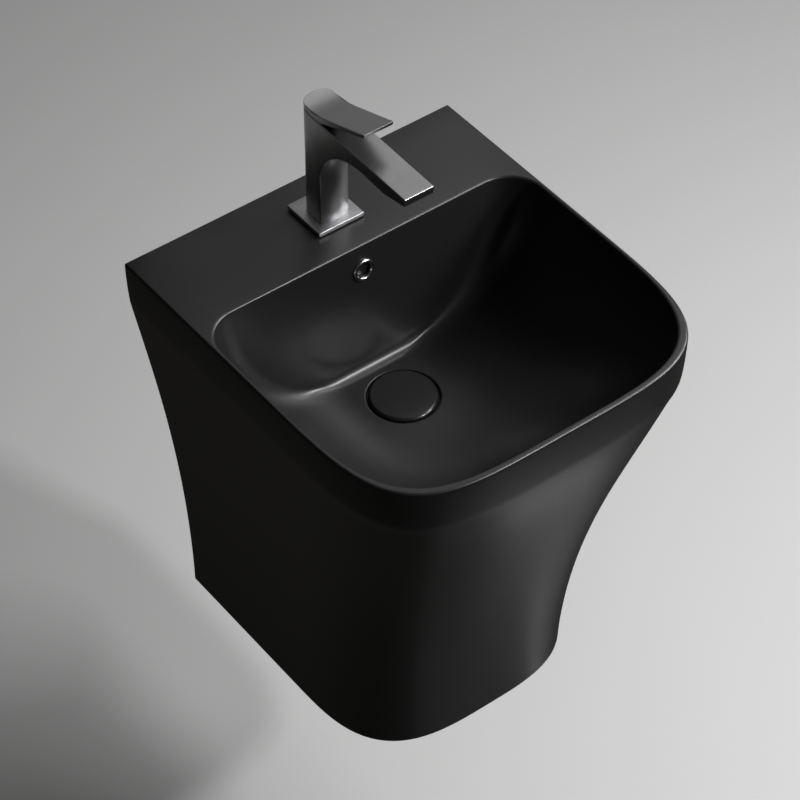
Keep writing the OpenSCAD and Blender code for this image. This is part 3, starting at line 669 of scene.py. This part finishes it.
piece(ceramic(), "basin", "glaze", "basin_body", "half_pedestal")
piece(duct(), "basin", "glaze")
trim, sleeve = overflow_ring()
piece(trim, "basin", "ring", "overflow_ring")
piece(sleeve, "basin", "black_cap")
piece(waste_cap(), "plug", "black_cap", "waste_cap")
piece(mixer_body(), "basin", "gunmetal", "mixer_body")
piece(spigot(), "basin", "gunmetal")
piece(base_plate(), "basin", "plate", "base_plate")
blade, hub = lever()
piece(blade, "lever", "gunmetal", "mixer_lever")
piece(hub, "lever", "gunmetal")

# ---------------------------------------------------------------- floor and air
RIM_OVER_FLOOR = 0.85
FLOOR_Z = RIM * MM - RIM_OVER_FLOOR
bpy.ops.mesh.primitive_plane_add(size=14, location=(0, 0, FLOOR_Z))
floor = bpy.context.object
floor.name = "floor"
floor.data.materials.append(material(
    "pale_floor", (0.42, 0.42, 0.42), 0.8, noise=(1.5, 0.015), grain=(300.0, 0.05), bump=0.05))
floor.visible_glossy = False    # the light cards below stand in for what the glaze sees of it

world = bpy.data.worlds.new("world")
bpy.context.scene.world = world
world.use_nodes = True
world.node_tree.nodes["Background"].inputs["Color"].default_value = (1.0, 0.96, 0.90, 1)
world.node_tree.nodes["Background"].inputs["Strength"].default_value = 0.04

# ---------------------------------------------------------------- lights
AIM = (0, -0.22, 0.0)
LIGHT_DISTANCE = 2.2


def area(name, loc, target, size, power):
    ld = bpy.data.lights.new(name, "AREA")
    ld.shape = "RECTANGLE"
    ld.size, ld.size_y = size
    ld.energy = power
    ob = bpy.data.objects.new(name, ld)
    bpy.context.scene.collection.objects.link(ob)
    ob.location = loc
    ob.rotation_mode = "QUATERNION"
    ob.rotation_quaternion = (Vector(target) - Vector(loc)).to_track_quat("-Z", "Y")
    return ob


def direction(az, el):
    """Unit vector at an azimuth from the front towards the right, and an elevation, in degrees."""
    az, el = math.radians(az), math.radians(el)
    return Vector((math.sin(az) * math.cos(el), -math.cos(az) * math.cos(el), math.sin(el)))


def towards(az, el):
    return tuple(Vector(AIM) + LIGHT_DISTANCE * direction(az, el))


def card_on_floor(name, x, y, size, power):
    """A small light just over the floor that shines upwards."""
    return area(name, (x, y, FLOOR_Z + 0.01), (x, y, 0), size, power)


area("strip", towards(57, 34), AIM, (0.9, 0.16), 46)
area("glint", towards(27, 34), AIM, (0.2, 0.16), 36)
area("key", towards(80, 28), AIM, (1.2, 0.34), 26)
area("top", towards(92, 52), AIM, (0.7, 0.7), 14)
area("back", (0.80, 0.30, 1.15), (0.0, -0.15, 0.2), (0.9, 0.9), 2.6)
cards = [
    area("wall_card", (0.08, 0.06, 0.28), (0.08, -1.0, 0.28), (0.46, 0.46), 0.19),
    card_on_floor("front_card", 0.30, -0.80, (0.8, 0.6), 0.2),
    card_on_floor("side_card", 0.38, -0.56, (0.18, 0.22), 0.28),
]
for card in cards:
    card.visible_camera = False

# ---------------------------------------------------------------- camera
cam_data = bpy.data.cameras.new("camera")
cam_data.lens = 137.1
cam_data.sensor_width = 36.0      # mm, as the lens is
cam = bpy.data.objects.new("camera", cam_data)
bpy.context.scene.collection.objects.link(cam)
cam.location = (-1.311933, -1.900969, 2.083621)
cam.rotation_mode = "QUATERNION"
cam.rotation_quaternion = (-direction(-37.34, 45.15)).to_track_quat("-Z", "Y")
bpy.context.scene.camera = cam
bpy.context.scene.view_settings.view_transform = "Standard"
